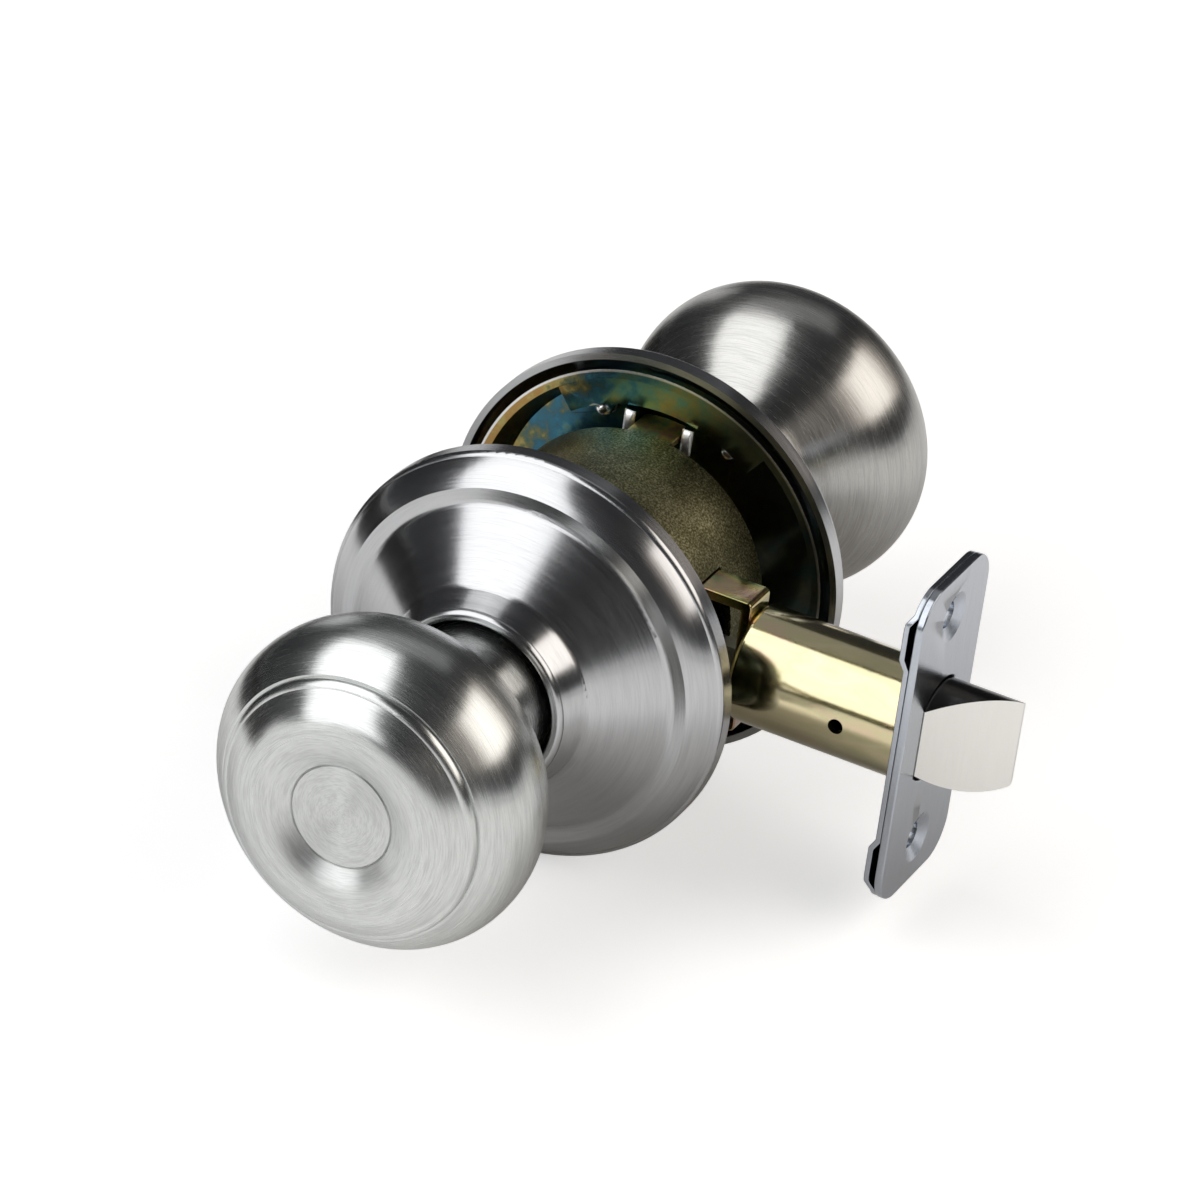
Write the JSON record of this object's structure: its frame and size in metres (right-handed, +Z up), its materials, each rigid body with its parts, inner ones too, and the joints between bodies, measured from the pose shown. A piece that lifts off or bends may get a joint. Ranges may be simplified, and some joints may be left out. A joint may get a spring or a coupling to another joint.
{
  "type": "passage lockset",
  "caption": "Passage door lockset: round knobs with conical roses on a drum chassis; turning a knob draws back the bevelled spring latch bolt.",
  "frame": {"origin": "on the spindle axis at the mid-plane of the door", "axes": "+X toward the latch bolt, +Y along the spindles toward the inside of the door, +Z up"},
  "size_m": [0.111, 0.168, 0.071],
  "materials": {
    "satin_nickel": "satin nickel plate, turned brush marks",
    "bright_zinc": "glossy bright zinc plate",
    "yellow_zinc": "yellow chromated zinc plate",
    "plain_steel": "plain steel"
  },
  "bodies": {
    "chassis": {"chassis_housing": "yellow_zinc", "chassis_end_plate": "yellow_zinc", "retractor_cage": "plain_steel", "retractor_spring_upper": "plain_steel", "retractor_spring_lower": "plain_steel", "outside_hub": "yellow_zinc", "inside_hub": "yellow_zinc", "outside_rose_liner": "yellow_zinc", "outside_rose": "satin_nickel", "mounting_plate": "yellow_zinc", "mounting_screw_left": "plain_steel", "mounting_screw_right": "plain_steel", "inside_rose": "satin_nickel", "latch_tube": "yellow_zinc", "latch_yoke": "yellow_zinc", "latch_backplate": "bright_zinc", "latch_faceplate": "bright_zinc", "bolt_spring": "plain_steel"},
    "outside_knob": {"outside_knob_shell": "satin_nickel", "outside_knob_face": "satin_nickel", "outside_knob_shank": "satin_nickel", "outside_spindle": "plain_steel", "outside_knob_catch": "plain_steel"},
    "inside_knob": {"inside_knob_shell": "satin_nickel", "inside_knob_face": "satin_nickel", "inside_knob_shank": "satin_nickel", "inside_spindle": "plain_steel", "inside_knob_catch": "plain_steel"},
    "retractor": {"retractor": "plain_steel"},
    "bolt": {"latch_bolt": "satin_nickel", "latch_tail": "plain_steel", "latch_tail_pin": "plain_steel"}
  },
  "joints": [
    {"name": "outside_knob_turn", "type": "hinge", "parent": "chassis", "child": "outside_knob", "pos_m": [0, 0, 0], "axis": [0, -1, 0], "range_deg": [0, 60], "stiffness_Nm_per_rad": 0.3, "springref_deg": -34.38},
    {"name": "inside_knob_turn", "type": "hinge", "parent": "chassis", "child": "inside_knob", "pos_m": [0, 0, 0], "axis": [0, -1, 0], "range_deg": [0, 60]},
    {"name": "retractor_slide", "type": "slide", "parent": "chassis", "child": "retractor", "axis": [-1, 0, 0], "range_m": [0, 0.0127], "deforming": ["retractor_spring_upper", "retractor_spring_lower"]},
    {"name": "bolt_slide", "type": "slide", "parent": "chassis", "child": "bolt", "axis": [-1, 0, 0], "range_m": [0, 0.0127], "deforming": ["bolt_spring"]}
  ],
  "couplings": [
    {"joint": "inside_knob_turn", "follows": "outside_knob_turn", "ratio": 1},
    {"joint": "retractor_slide", "follows": "outside_knob_turn", "m_per_rad": 0.012127},
    {"joint": "bolt_slide", "follows": "outside_knob_turn", "m_per_rad": 0.012127}
  ]
}
